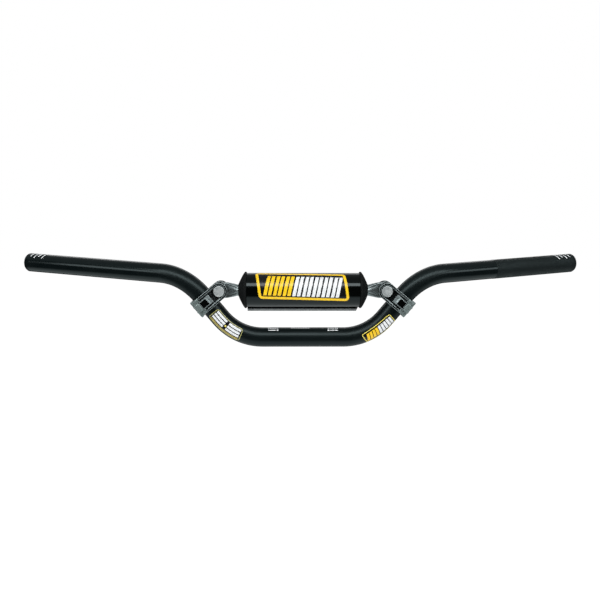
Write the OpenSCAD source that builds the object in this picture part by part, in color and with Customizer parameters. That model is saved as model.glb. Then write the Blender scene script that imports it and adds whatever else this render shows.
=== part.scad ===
// Off-road handlebar with a clamp-on crossbar and a round crossbar pad.
// X runs along the bar, +Y points back towards the rider, +Z is up.
// The origin is the centre of the straight section that the stem clamps hold.

/* [Main tube] */
// Outside diameter of the main tube
tube_od = 22.2; // [22:0.1:22.4]
// Wall thickness of the main tube
tube_wall = 4; // [3:0.5:5]
// Half length of the straight clamping section
centre_half = 46; // [40:1:50]
// Bend radius at the foot of the uprights, to the tube's axis
low_bend_r = 61.5; // [58:0.5:66]
// Angle of the uprights above the horizontal
upright_deg = 50.3; // [48:0.1:53]
// Straight length of each upright, where a crossbar clamp sits
upright_len = 34; // [34:1:38]
// Bend radius between the upright and the grip end, to the tube's axis
top_bend_r = 62; // [58:1:68]
// How far the grip ends sweep back, seen from above
sweep_deg = 20; // [14:1:22]
// How far the grip ends rise towards their tips
rise_deg = 2; // [0:0.5:5]
// Straight length of each grip end
grip_len = 182; // [175:1:210]
// Length of the knurled grip seat at the clutch end
knurl_len = 116; // [90:1:120]
// Height of the knurl above the plain tube
knurl_h = 0.2; // [0.1:0.05:0.3]

/* [Crossbar] */
// Outside diameter of the crossbar
cross_od = 12.7; // [12:0.1:13]
// Wall thickness of the crossbar
cross_wall = 1.8; // [1.5:0.1:2]
// Height of the flattened crossbar end at its widest
eye_h = 17.6; // [16:0.1:18]
// Thickness of the flattened crossbar end
eye_t = 5.2; // [5:0.1:5.4]
// Length over which the crossbar changes from round to flat
press_len = 20; // [18:0.5:20]

/* [Crossbar clamps] */
// Width of a clamp along the upright
clamp_w = 19; // [18:0.5:19]
// Distance from the upright's axis to the pivot
pivot_h = 19.9; // [19.6:0.1:20.2]
// Depth of the fork, front to back
fork_d = 26; // [25:0.5:27]
// Depth of the clamp block beside the tube, front to back
block_d = 32.8; // [32.8:0.2:34]
// Gap between the two arms of the fork
fork_gap = 7; // [7:0.1:7.2]
// Width of the raised edge around the arm
rail_w = 2.4; // [1.8:0.1:2.6]
// Depth of the pocket inside the raised edge
pocket_d = 1.8; // [1:0.1:2]
// Width of the screw boss
boss_w = 8.8; // [8.4:0.1:9]
// Diameter of the clamp screws
screw_d = 4; // [4:0.5:4]
// Diameter of the head of the pivot sleeve
pivot_head_d = 12.2; // [11:0.1:12.4]
// Diameter of the pivot sleeve's shaft
pivot_d = 8; // [7:0.5:8]

/* [Pad] */
// Length of the foam, tip to tip
pad_len = 146; // [146:0.2:148]
// Length of the cover
cover_len = 126; // [120:1:126]
// Diameter of the foam's end rims
rim_d = 41.6; // [40:0.2:43]
// Outside diameter of the cover
cover_od = 38.8; // [38:0.2:39]
// Thickness of the cover material
cover_t = 0.9; // [0.6:0.1:1]
// How far the closure hangs below the round of the cover
fin_h = 3.6; // [3.4:0.2:6]
// Thickness of each hook and loop strip
strip_t = 0.8; // [0.6:0.1:0.9]

/* [Hidden] */
$fn = 96;

tube_r = tube_od / 2;
tube_bore_r = tube_r - tube_wall;
end_chamfer = 1.2;
bend_step = 0.02;
bend_overlap = 0.4;

// Corners of the main tube's axis, right half
upright_dir = [cos(upright_deg), 0, sin(upright_deg)];
grip_dir = [cos(rise_deg) * cos(sweep_deg), cos(rise_deg) * sin(sweep_deg), sin(rise_deg)];
upright_start = [centre_half + low_bend_r * sin(upright_deg), 0, low_bend_r * (1 - cos(upright_deg))];
upright_end = upright_start + upright_len * upright_dir;
top_bend_deg = acos(upright_dir * grip_dir);
// From the start of the top bend towards the centre it turns around
top_inward = unit(grip_dir - (grip_dir * upright_dir) * upright_dir);
top_centre = upright_end + top_bend_r * top_inward;
grip_start = top_centre - top_bend_r * cos(top_bend_deg) * top_inward
    + top_bend_r * sin(top_bend_deg) * upright_dir;

// The clamp sits at the middle of its seat on the straight upright
clamp_s = 25;
clamp_pos = upright_start + clamp_s * upright_dir;
upright_up = [-sin(upright_deg), 0, cos(upright_deg)];
pivot_pos = clamp_pos + pivot_h * upright_up;
seat_gap = 0.05;
pinch_gap = 0.5;

// Crossbar
cross_z = pivot_pos[2];
cross_r = cross_od / 2;
eye_reach = 8.5;
eye_round_r = eye_h / 2 - 0.6;
eye_tube_gap = 6.4;
eye_half = eye_t / 2;
press_step = 0.2;
press_lap = 0.5;
closed_end = 4;
cut_size = 60;
washer_t = 0.8;
washer_od = 12.6;
pin_gap = 0.05;

// Clamp
arm_r = clamp_w / 2;
fork_half = fork_d / 2;
block_half = block_d / 2;
boss_half = block_half + 1.9;
shoulder_z = 4;
arm_top = pivot_h + arm_r + 1;
boss_face_top = 4.6;
boss_top = 7.8;
boss_slope = 1;
boss_clearance = 0.3;
screw_y = 14;
screw_head_d = 6.4;
screw_head_h = 4;
screw_hex_af = 3;
cap_bottom = -13.2;
cap_seat = -8.8;
cap_chamfer = 1.4;
head_clearance = 0.5;
shank_clearance = 0.2;
rail_parting = -3.4;
boss_parting = -4.8;
slot_floor = 13;
screw_top = 6.5;
screw_end_gap = 0.5;
hex_depth = 2;
cap_lip = 1.1;
cap_lip_h = 2.2;
cap_lip_half = 14;

// Pivot sleeve and its screw
head_floor = fork_half - pocket_d;
sleeve_end = 10.4;
sleeve_head_h = 2.8;
sleeve_thread_r = 2.55;
sleeve_chamfer = 0.6;
pivot_screw_d = 5;
pivot_screw_head_d = 9.5;
pivot_screw_head_h = 2.7;
pivot_screw_taper = 2;
pivot_hex_af = 3;
pivot_screw_tip = -7;

// Pad
wrap_gap = 0.05;
foam_r = cover_od / 2 - cover_t - 2 * wrap_gap;
foam_bore_r = cross_r + 0.15;
rim_w = 2.2;
rim_slope = 0.7;
dome_h = 7.8;
dome_tip_r = 6.8;
dome_power = 1.3;
slit_w = 0.6;
flap_gap = 0.35;
fin_y = strip_t + flap_gap / 2;
fin_corner = 2.5;
strip_margin = 1;
flap_len = cover_len - 2;
strip_len = flap_len - 6;
fin_top = -cover_od / 2 + cover_t / 2;
fin_bottom = -cover_od / 2 - fin_h;

// Decals
decal_t = 0.2;
decal_lift = 0.02;
left_decal_top = 11;
right_decal_top = 7.5;
decal_len = 41;
decal_arc_deg = 84;
left_decal_turn_deg = 6;
right_decal_turn_deg = 22;
decal_trim = 10;

tube_color = [0.07, 0.08, 0.08];
casting_color = [0.20, 0.23, 0.23];
cap_color = [0.42, 0.46, 0.46];
crossbar_color = [0.38, 0.42, 0.42];
steel_color = [0.72, 0.76, 0.76];
screw_color = [0.5, 0.52, 0.53];
washer_color = [0.08, 0.08, 0.09];
foam_color = [0.05, 0.06, 0.06];
cover_color = [0.03, 0.03, 0.04];
strip_color = [0.1, 0.1, 0.1];
decal_color = [0.85, 0.82, 0.45];

function unit(v) = v / norm(v);

// Places children so that their X, Y and Z axes point along the three given directions.
module on_axes(x, y, z, at) {
    multmatrix([
        [x[0], y[0], z[0], at[0]],
        [x[1], y[1], z[1], at[1]],
        [x[2], y[2], z[2], at[2]],
        [0, 0, 0, 1]
    ]) children();
}

// Turns children so that their Z axis runs along dir, starting at at.
module along(dir, at) {
    side = unit(cross([0, 1, 0], dir));
    on_axes(side, cross(dir, side), dir, at) children();
}

// Clamp frame: X along the upright, Y to the back, Z from the tube to the pivot.
module at_clamp() {
    translate(clamp_pos) rotate([0, -upright_deg, 0]) children();
}

module left_side() {
    mirror([1, 0, 0]) children();
}

module both_depths() {
    children();
    mirror([0, 1, 0]) children();
}

// Solid between y = from and y = to with the outline drawn in X and Z.
module slab_xz(from, to) {
    translate([0, to, 0]) rotate([90, 0, 0]) linear_extrude(to - from) children();
}

// Solid w wide along X, centred, with the outline drawn in Y and Z.
module slab_yz(w) {
    translate([-w / 2, 0, 0]) rotate([90, 0, 90]) linear_extrude(w) children();
}

module hex_bar(af, h) {
    cylinder(d = af / cos(30), h = h, $fn = 6);
}

// Main tube -----------------------------------------------------------------

// A round bar along the upright's straight part, a little longer at both ends.
module straight(r, dir, start, length) {
    along(dir, start - bend_overlap * dir) cylinder(r = r, h = length + 2 * bend_overlap);
}

// The bends are a hair thinner than the straight parts, which run a little way over them.
module bends(r) {
    translate([centre_half, 0, low_bend_r]) rotate([90, 0, 0]) rotate([0, 0, -90])
        rotate_extrude(angle = upright_deg, $fn = 144)
            translate([low_bend_r, 0]) circle(r = r - bend_step);
    on_axes(-top_inward, upright_dir, cross(-top_inward, upright_dir), top_centre)
        rotate_extrude(angle = top_bend_deg, $fn = 144)
            translate([top_bend_r, 0]) circle(r = r - bend_step);
}

// Round bar of radius r along the whole axis; the grip ends are tip longer than grip_len.
module bar_solid(r, tip) {
    reach = centre_half + bend_overlap;
    rotate([0, 90, 0]) cylinder(r = r, h = 2 * reach, center = true);
    for (side = [0, 1]) mirror([side, 0, 0]) {
        bends(r);
        straight(r, upright_dir, upright_start, upright_len);
        straight(r, grip_dir, grip_start, grip_len + tip - bend_overlap);
    }
}

// Chamfered tip, and for the clutch end the knurled grip seat.
module grip_tip(seat_len, seat_h) {
    along(grip_dir, grip_start) {
        if (seat_len > 0) translate([0, 0, grip_len - seat_len])
            cylinder(r = tube_r + seat_h, h = seat_len - end_chamfer);
        translate([0, 0, grip_len - end_chamfer])
            cylinder(r1 = tube_r + seat_h, r2 = tube_r - end_chamfer / 2, h = end_chamfer);
    }
}

module bar_tube() {
    color(tube_color) difference() {
        union() {
            bar_solid(tube_r, -end_chamfer);
            grip_tip(knurl_len, knurl_h);
            left_side() grip_tip(0, 0);
        }
        bar_solid(tube_bore_r, 1);
    }
}

// Crossbar ------------------------------------------------------------------

// The tube's end pressed flat: it widens from the round tube to a plate with a round end.
module pressed_end() {
    lap_x = pivot_pos[0] - press_len - press_lap;
    flat_x = pivot_pos[0] - eye_reach;
    difference() {
        union() {
            hull() {
                translate([lap_x, 0, 0]) rotate([0, 90, 0])
                    cylinder(r = cross_r - press_step, h = press_lap / 2, $fn = 32);
                translate([flat_x - press_lap, press_step - eye_half, -eye_h / 2])
                    cube([press_lap, eye_t - 2 * press_step, eye_h]);
            }
            slab_xz(-eye_half, eye_half) translate([pivot_pos[0], 0]) {
                circle(r = eye_round_r);
                translate([-eye_reach - press_lap / 2, -eye_round_r])
                    square([eye_reach + press_lap / 2, 2 * eye_round_r]);
            }
        }
        // The end is cut back so that it clears the upright
        translate([pivot_pos[0], 0, 0]) rotate([0, -upright_deg, 0])
            translate([-cut_size, -cut_size / 2, -eye_tube_gap - cut_size])
                cube([2 * cut_size, cut_size, cut_size]);
        translate([pivot_pos[0], 0, 0]) rotate([90, 0, 0])
            cylinder(r = pivot_d / 2 + pin_gap, h = cross_od, center = true);
    }
}

module crossbar_tube() {
    half = pivot_pos[0] - press_len;
    color(crossbar_color) translate([0, 0, cross_z]) {
        rotate([0, 90, 0]) difference() {
            cylinder(r = cross_r, h = 2 * half, center = true);
            cylinder(r = cross_r - cross_wall, h = 2 * (half - closed_end), center = true);
        }
        pressed_end();
        left_side() pressed_end();
    }
}

// Crossbar clamps -------------------------------------------------------------

// Front outline of the arm: a bar with a round end about the pivot.
module arm_outline(inset) {
    r = arm_r - inset;
    translate([0, pivot_h]) circle(r = r);
    translate([-r, boss_parting]) square([2 * r, pivot_h - boss_parting]);
}

// Side outline of the body, drawn back from the outer faces by inset.
module arm_side(inset) {
    fork = fork_half - inset;
    block = block_half - inset;
    polygon([
        [-block, rail_parting],
        [block, rail_parting],
        [block, shoulder_z],
        [fork, slot_floor],
        [fork, arm_top],
        [-fork, arm_top],
        [-fork, slot_floor],
        [-block, shoulder_z]
    ]);
}

// Screw boss: proud of the pocket, with a sloping top.
module boss_side() {
    foot = block_half - pocket_d;
    polygon([
        [0, boss_parting],
        [boss_half, boss_parting],
        [boss_half, boss_face_top],
        [foot - boss_slope, boss_top],
        [0, boss_top]
    ]);
}

module clamp_body() {
    at_clamp() difference() {
        union() {
            intersection() {
                slab_xz(-block_half, block_half) arm_outline(0);
                slab_yz(clamp_w) arm_side(pocket_d);
            }
            intersection() {
                slab_xz(-block_half, block_half) difference() {
                    arm_outline(0);
                    arm_outline(rail_w);
                }
                slab_yz(clamp_w) arm_side(0);
            }
            both_depths() slab_yz(boss_w) boss_side();
        }
        // Seat for the upright
        rotate([0, 90, 0]) cylinder(r = tube_r + seat_gap, h = 2 * clamp_w, center = true);
        // Slot for the crossbar's flat end
        translate([-clamp_w, -fork_gap / 2, slot_floor]) cube([2 * clamp_w, fork_gap, 3 * clamp_w]);
        // Pivot hole
        translate([0, 0, pivot_h]) rotate([90, 0, 0])
            cylinder(r = pivot_d / 2 + pin_gap, h = block_d, center = true);
        // Blind holes for the clamp screws
        both_depths() translate([0, screw_y, boss_parting - 1])
            cylinder(r = screw_d / 2 + pin_gap, h = screw_top - boss_parting + 1);
    }
}

// Side outline of the cap, down from the parting face.
module cap_side(half, top) {
    polygon([
        [-half, top],
        [half, top],
        [half, cap_bottom + cap_chamfer],
        [half - cap_chamfer, cap_bottom],
        [cap_chamfer - half, cap_bottom],
        [-half, cap_bottom + cap_chamfer]
    ]);
}

module clamp_cap() {
    at_clamp() difference() {
        union() {
            slab_yz(clamp_w) cap_side(block_half, boss_parting - pinch_gap);
            difference() {
                slab_yz(clamp_w) cap_side(block_half, rail_parting - pinch_gap);
                slab_yz(boss_w + 2 * boss_clearance) cap_side(2 * block_half, rail_parting);
            }
            slab_yz(boss_w) cap_side(boss_half, boss_parting - pinch_gap);
            translate([-arm_r - cap_lip, -cap_lip_half, cap_bottom])
                cube([clamp_w + 2 * cap_lip, 2 * cap_lip_half, cap_lip_h]);
        }
        rotate([0, 90, 0]) cylinder(r = tube_r + seat_gap, h = 2 * clamp_w, center = true);
        both_depths() translate([0, screw_y, cap_bottom]) {
            cylinder(r = screw_d / 2 + shank_clearance, h = -cap_bottom);
            translate([0, 0, -1])
                cylinder(r = screw_head_d / 2 + head_clearance, h = cap_seat - cap_bottom + 1);
        }
    }
}

module clamp_screws() {
    at_clamp() both_depths() translate([0, screw_y, 0]) difference() {
        union() {
            translate([0, 0, cap_seat - screw_head_h]) cylinder(d = screw_head_d, h = screw_head_h);
            translate([0, 0, cap_seat])
                cylinder(d = screw_d, h = screw_top - screw_end_gap - cap_seat);
        }
        translate([0, 0, cap_seat - screw_head_h - 1]) hex_bar(screw_hex_af, hex_depth + 1);
    }
}

// Pivot frame: Z points forwards out of the fork, origin on the crossbar's axis.
module at_pivot() {
    translate(pivot_pos) rotate([90, 0, 0]) children();
}

module pivot_sleeve() {
    at_pivot() difference() {
        union() {
            translate([0, 0, -sleeve_end]) cylinder(d = pivot_d, h = sleeve_end + head_floor);
            translate([0, 0, head_floor])
                cylinder(d = pivot_head_d, h = sleeve_head_h - sleeve_chamfer);
            translate([0, 0, head_floor + sleeve_head_h - sleeve_chamfer])
                cylinder(d1 = pivot_head_d, d2 = pivot_head_d - 2 * sleeve_chamfer, h = sleeve_chamfer);
        }
        // Blind bore for the pivot screw
        translate([0, 0, -sleeve_end - 1]) cylinder(r = sleeve_thread_r, h = sleeve_end + head_floor);
    }
}

module pivot_screw() {
    head_end = head_floor + pivot_screw_head_h;
    at_pivot() rotate([180, 0, 0]) difference() {
        union() {
            translate([0, 0, pivot_screw_tip])
                cylinder(d = pivot_screw_d, h = head_floor - pivot_screw_tip);
            translate([0, 0, head_floor])
                cylinder(
                    d1 = pivot_screw_head_d,
                    d2 = pivot_screw_head_d - pivot_screw_taper,
                    h = pivot_screw_head_h
                );
        }
        translate([0, 0, head_end - hex_depth]) hex_bar(pivot_hex_af, hex_depth + 1);
    }
}

// A thin plastic washer on each side of the crossbar's flat end.
module fork_washers() {
    at_pivot() for (side = [0, 1]) mirror([0, 0, side]) translate([0, 0, eye_half]) difference() {
        cylinder(d = washer_od, h = washer_t);
        translate([0, 0, -1]) cylinder(r = pivot_d / 2 + pin_gap, h = washer_t + 2);
    }
}

// Pad -------------------------------------------------------------------------

// Half outline of the foam: radius against length, with a domed end.
module foam_outline() {
    rim_x = pad_len / 2 - dome_h;
    rim_r = rim_d / 2;
    dome = [for (share = [0 : 0.125 : 1]) [
        rim_r - (rim_r - dome_tip_r) * pow(share, dome_power),
        rim_x + dome_h * share
    ]];
    polygon(concat(
        [[foam_bore_r, 0], [foam_r, 0], [foam_r, rim_x - rim_w], [rim_r, rim_x - rim_w + rim_slope]],
        dome,
        [[foam_bore_r, pad_len / 2]]
    ));
}

module pad_foam() {
    color(foam_color) translate([0, 0, cross_z]) difference() {
        rotate([0, 90, 0]) for (end = [0, 1]) mirror([0, 0, end]) rotate_extrude() foam_outline();
        // Slit that lets the foam open over the crossbar
        translate([-pad_len, -slit_w / 2, -rim_d]) cube([2 * pad_len, slit_w, rim_d]);
    }
}

// Outline of the hanging closure in X and Z, with cut corners.
module fin_outline(top, bottom, length) {
    half = length / 2;
    corner = min(fin_corner, top - bottom - 0.5);
    polygon([
        [-half, top],
        [-half, bottom + corner],
        [-half + corner, bottom],
        [half - corner, bottom],
        [half, bottom + corner],
        [half, top]
    ]);
}

// The cover wraps the foam and ends in a lip that hangs down behind the closure.
module pad_cover() {
    color(cover_color) translate([0, 0, cross_z]) {
        difference() {
            rotate([0, 90, 0]) difference() {
                cylinder(d = cover_od, h = cover_len, center = true);
                cylinder(r = foam_r + wrap_gap, h = 2 * cover_len, center = true);
            }
            // Room for the flap's root
            translate([-cover_len, -fin_y - cover_t - flap_gap, -cover_od])
                cube([2 * cover_len, fin_y + cover_t + flap_gap, cover_od]);
        }
        slab_xz(fin_y, fin_y + cover_t) fin_outline(fin_top, fin_bottom, flap_len);
    }
}

// Front lip of the closure, which peels open.
module pad_flap() {
    color(cover_color) translate([0, 0, cross_z])
        slab_xz(-fin_y - cover_t, -fin_y) fin_outline(fin_top, fin_bottom, flap_len);
}

module closure_strip(front) {
    color(strip_color) translate([0, 0, cross_z])
        slab_xz(front, front + strip_t)
            fin_outline(fin_top - strip_margin, fin_bottom + strip_margin, strip_len);
}

module pad_hook_strip() {
    closure_strip(flap_gap / 2);
}

module pad_loop_strip() {
    closure_strip(-flap_gap / 2 - strip_t);
}

// Decals ----------------------------------------------------------------------

// Section of a decal that wraps +Y, turned by mid towards +X, the upright's lower side.
// The bent stretch is a hair thinner and narrower, so that the straight one laps over it.
module decal_section(mid, lap) {
    reach = 2 * tube_r;
    half = decal_arc_deg / 2 - decal_trim * lap;
    intersection() {
        difference() {
            circle(r = tube_r + decal_t - lap);
            circle(r = tube_r + decal_lift + lap);
        }
        polygon([
            [0, 0],
            [reach * sin(mid - half), reach * cos(mid - half)],
            [reach * sin(mid) * 1.3, reach * cos(mid) * 1.3],
            [reach * sin(mid + half), reach * cos(mid + half)]
        ]);
    }
}

// A decal starts under the clamp on the straight upright and runs down into the lower bend.
module upright_decal(top, turn_deg) {
    bend_deg = (decal_len - top) / low_bend_r * 180 / PI;
    color(decal_color) {
        translate(upright_start - bend_overlap * upright_dir) rotate([0, 90 - upright_deg, 0])
            mirror([0, 1, 0]) linear_extrude(top + bend_overlap) decal_section(turn_deg, 0);
        translate([centre_half, 0, low_bend_r]) rotate([90, 0, 0])
            rotate([0, 0, upright_deg - 90 - bend_deg])
                rotate_extrude(angle = bend_deg, $fn = 144)
                    translate([low_bend_r, 0]) decal_section(turn_deg, bend_step);
    }
}

// Named sub-parts, left and right ------------------------------------------------

module right_clamp_body() {
    color(casting_color) clamp_body();
}

module left_clamp_body() {
    color(casting_color) left_side() clamp_body();
}

module right_clamp_cap() {
    color(cap_color) clamp_cap();
}

module left_clamp_cap() {
    color(cap_color) left_side() clamp_cap();
}

module right_clamp_screws() {
    color(screw_color) clamp_screws();
}

module left_clamp_screws() {
    color(screw_color) left_side() clamp_screws();
}

module right_pivot_sleeve() {
    color(steel_color) pivot_sleeve();
}

module left_pivot_sleeve() {
    color(steel_color) left_side() pivot_sleeve();
}

module right_pivot_screw() {
    color(screw_color) pivot_screw();
}

module left_pivot_screw() {
    color(screw_color) left_side() pivot_screw();
}

module right_fork_washers() {
    color(washer_color) fork_washers();
}

module left_fork_washers() {
    color(washer_color) left_side() fork_washers();
}

module right_decal() {
    upright_decal(right_decal_top, right_decal_turn_deg);
}

module left_decal() {
    left_side() upright_decal(left_decal_top, left_decal_turn_deg);
}

bar_tube();
crossbar_tube();
left_clamp_body();
right_clamp_body();
left_clamp_cap();
right_clamp_cap();
left_clamp_screws();
right_clamp_screws();
left_pivot_sleeve();
right_pivot_sleeve();
left_pivot_screw();
right_pivot_screw();
left_fork_washers();
right_fork_washers();
pad_foam();
pad_cover();
pad_flap();
pad_hook_strip();
pad_loop_strip();
left_decal();
right_decal();
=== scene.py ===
"""Looks for the handlebar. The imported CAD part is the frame, and every length is in metres in its
row frame: X runs along the bar, +Y points back to the rider, +Z is up."""

import math

import bmesh
import bpy
from mathutils import Matrix, Vector, noise


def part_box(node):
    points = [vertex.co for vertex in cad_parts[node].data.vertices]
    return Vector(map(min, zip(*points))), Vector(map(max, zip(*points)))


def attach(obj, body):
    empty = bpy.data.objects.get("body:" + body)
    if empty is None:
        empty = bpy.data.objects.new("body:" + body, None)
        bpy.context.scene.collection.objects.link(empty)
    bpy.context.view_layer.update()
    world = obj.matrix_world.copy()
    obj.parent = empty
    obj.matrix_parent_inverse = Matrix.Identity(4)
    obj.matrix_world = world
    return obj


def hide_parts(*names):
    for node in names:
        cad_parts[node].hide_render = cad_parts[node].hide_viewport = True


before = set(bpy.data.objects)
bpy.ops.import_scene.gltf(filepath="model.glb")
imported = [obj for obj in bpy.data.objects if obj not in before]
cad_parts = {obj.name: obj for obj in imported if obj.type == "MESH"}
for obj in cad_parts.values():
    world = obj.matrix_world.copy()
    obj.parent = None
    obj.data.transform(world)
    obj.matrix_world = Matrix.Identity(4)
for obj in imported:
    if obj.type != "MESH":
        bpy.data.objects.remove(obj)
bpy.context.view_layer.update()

MM = 0.001

# Main tube, as in the CAD source
TUBE_R = 11.1 * MM
BORE_R = 7.1 * MM
CENTRE_HALF = 46 * MM
LOW_BEND_R = 61.5 * MM
UPRIGHT = math.radians(50.3)
UPRIGHT_LEN = 34 * MM
TOP_BEND_R = 62 * MM
SWEEP = math.radians(20)
RISE = math.radians(2)
GRIP_LEN = 182 * MM
KNURL_LEN = 116 * MM
KNURL_H = 0.2 * MM
TIP_CHAMFER = 1.2 * MM
LOW_BEND_LEN = LOW_BEND_R * UPRIGHT
CLAMP_S = 25 * MM
PIVOT_H = 19.9 * MM

# Crossbar and pad
CROSS_R = 6.35 * MM
EYE_H = 8.8 * MM
EYE_T = 2.6 * MM
PRESS_LEN = 20 * MM
EYE_REACH = 8.5 * MM
EYE_ROUND_R = 8.2 * MM
PAD_HALF = 73 * MM
COVER_HALF = 63 * MM
COVER_OUT_R = 19.4 * MM
COVER_T = 0.9 * MM
FOAM_R = 18.4 * MM
FOAM_BORE_R = 6.5 * MM
RIM_R = 20.8 * MM
DOME_H = 7.8 * MM
DOME_TIP_R = 6.8 * MM
DOME_POWER = 1.3
FIN_Y = 0.975 * MM
FIN_H = 4.1 * MM

UPRIGHT_DIR = Vector((math.cos(UPRIGHT), 0, math.sin(UPRIGHT)))
UPRIGHT_UP = Vector((-math.sin(UPRIGHT), 0, math.cos(UPRIGHT)))
GRIP_DIR = Vector(
    (
        math.cos(RISE) * math.cos(SWEEP),
        math.cos(RISE) * math.sin(SWEEP),
        math.sin(RISE),
    )
)
TOP_BEND_LEN = TOP_BEND_R * UPRIGHT_DIR.angle(GRIP_DIR)
GRIP_START_S = CENTRE_HALF + LOW_BEND_LEN + UPRIGHT_LEN + TOP_BEND_LEN
UPRIGHT_START = Vector(
    (
        CENTRE_HALF + LOW_BEND_R * math.sin(UPRIGHT),
        0,
        LOW_BEND_R * (1 - math.cos(UPRIGHT)),
    )
)
PIVOT = UPRIGHT_START + CLAMP_S * UPRIGHT_DIR + PIVOT_H * UPRIGHT_UP
CROSS_Z = PIVOT.z


# Materials ------------------------------------------------------------------


class Finish:
    """A Principled material, with short ways to add the nodes for its grain, tint and relief."""

    def __init__(self, name, color, roughness, **constants):
        self.material = bpy.data.materials.new(name)
        self.material.use_nodes = True
        self.nodes = self.material.node_tree.nodes
        self.links = self.material.node_tree.links
        self.shader = self.nodes["Principled BSDF"]
        self.shader.inputs["Base Color"].default_value = (*color, 1)
        self.shader.inputs["Roughness"].default_value = roughness
        for socket, value in constants.items():
            self.shader.inputs[socket.replace("_", " ")].default_value = value
        self.color = color
        self.bumped = None

    def node(self, kind, **inputs):
        made = self.nodes.new(kind)
        for socket, value in inputs.items():
            self.feed(made.inputs[socket.replace("_", " ")], value)
        return made

    def feed(self, socket, value):
        if isinstance(value, bpy.types.NodeSocket):
            self.links.new(value, socket)
        else:
            socket.default_value = value

    def coords(self, kind="Object", scale=(1, 1, 1)):
        source = self.node("ShaderNodeTexCoord").outputs[kind]
        return self.node("ShaderNodeMapping", Vector=source, Scale=scale).outputs[
            "Vector"
        ]

    def noise(self, scale, detail=3.0, stretch=(1, 1, 1), kind="Object"):
        made = self.node(
            "ShaderNodeTexNoise",
            Vector=self.coords(kind, stretch),
            Scale=scale,
            Detail=detail,
        )
        return made.outputs["Fac"]

    def math(self, operation, a, b=0.0):
        made = self.nodes.new("ShaderNodeMath")
        made.operation = operation
        self.feed(made.inputs[0], a)
        self.feed(made.inputs[1], b)
        return made.outputs[0]

    def spread(self, value, low, high, start=0.3, end=0.7):
        """value from start to end becomes low to high."""
        made = self.node(
            "ShaderNodeMapRange",
            Value=value,
            From_Min=start,
            From_Max=end,
            To_Min=low,
            To_Max=high,
        )
        return made.outputs["Result"]

    def blend(self, factor, a, b):
        made = self.nodes.new("ShaderNodeMix")
        made.data_type = "RGBA"
        self.feed(made.inputs[0], factor)
        self.feed(made.inputs[6], (*a, 1) if isinstance(a, tuple) else a)
        self.feed(made.inputs[7], (*b, 1) if isinstance(b, tuple) else b)
        return made.outputs[2]

    def tint(self, value, other):
        """The base colour runs to another one as value goes from 0 to 1."""
        out = self.blend(value, self.color, other)
        self.links.new(out, self.shader.inputs["Base Color"])
        return self

    def gloss(self, value, low, high):
        out = self.spread(value, low, high)
        self.links.new(out, self.shader.inputs["Roughness"])
        return self

    def relief(self, height, distance):
        made = self.node("ShaderNodeBump", Height=height, Distance=distance, Strength=1.0)
        if self.bumped is not None:
            self.links.new(self.bumped, made.inputs["Normal"])
        self.bumped = made.outputs["Normal"]
        self.links.new(self.bumped, self.shader.inputs["Normal"])
        return self


def anodised():
    """Black anodised tube: satin in the middle, polished towards the grips, with faint drawing lines."""
    f = Finish(
        "black_anodise",
        (0.0026, 0.0046, 0.005),
        0.22,
        Specular_IOR_Level=0.3,
        Specular_Tint=(0.78, 0.98, 1, 1),
    )
    lines = f.noise(900, 3, (0.02, 1, 1), "UV")
    cloud = f.noise(45, 3)
    f.tint(f.spread(cloud, 0, 1), (0.0038, 0.006, 0.0064))
    along = f.node("ShaderNodeSeparateXYZ", Vector=f.coords("UV")).outputs["X"]
    satin = f.spread(
        f.math("ABSOLUTE", along), 0.17, 0, GRIP_START_S - 15 * MM, GRIP_START_S + 15 * MM
    )
    uneven = f.spread(f.blend(0.5, lines, cloud), 0.13, 0.18)
    f.links.new(f.math("ADD", satin, uneven), f.shader.inputs["Roughness"])
    f.relief(lines, 0.0015 * MM)
    return f.material


def knurled():
    """The clutch end's grip seat: fine crossed knurl with a matt coat."""
    f = Finish(
        "knurled_anodise",
        (0.0055, 0.0078, 0.0082),
        0.5,
        Specular_IOR_Level=0.25,
        Specular_Tint=(0.78, 0.98, 1, 1),
    )
    uv = f.coords("UV")
    split = f.node("ShaderNodeSeparateXYZ", Vector=uv)
    pitch = 2 * math.pi / (1.0 * MM)
    waves = []
    for sign in (1, -1):
        slanted = f.math(
            "ADD", split.outputs["X"], f.math("MULTIPLY", split.outputs["Y"], sign)
        )
        waves.append(
            f.math("ABSOLUTE", f.math("SINE", f.math("MULTIPLY", slanted, pitch / 2)))
        )
    teeth = f.math("MULTIPLY", waves[0], waves[1])
    cloud = f.noise(120, 4)
    # Painted shade: the knurl's valleys take a darker colour than its crests
    f.tint(f.spread(teeth, 0, 1, 0.1, 0.9), (0.0098, 0.0135, 0.0138))
    f.gloss(cloud, 0.42, 0.6)
    f.relief(teeth, 0.05 * MM)
    f.relief(cloud, 0.02 * MM)
    return f.material


def bare_cut():
    """Sawn and deburred aluminium with turning marks round the bore."""
    f = Finish("bare_cut_end", (0.5, 0.52, 0.53), 0.35, Metallic=1.0)
    rings = f.noise(60, 2, (30, 30, 1), "UV")
    f.gloss(rings, 0.28, 0.5)
    f.tint(f.spread(f.noise(400, 3), 0, 1), (0.38, 0.4, 0.41))
    f.relief(rings, 0.02 * MM)
    return f.material


def grey_tube():
    """Crossbar: satin grey anodised aluminium, drawn along its length."""
    f = Finish("satin_grey_anodise", (0.29, 0.34, 0.345), 0.27, Metallic=0.8)
    lines = f.noise(1400, 3, (0.03, 1, 1))
    cloud = f.noise(90, 4)
    f.tint(f.spread(cloud, 0, 1), (0.23, 0.27, 0.275))
    f.gloss(lines, 0.26, 0.36)
    f.relief(lines, 0.005 * MM)
    return f.material


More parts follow.
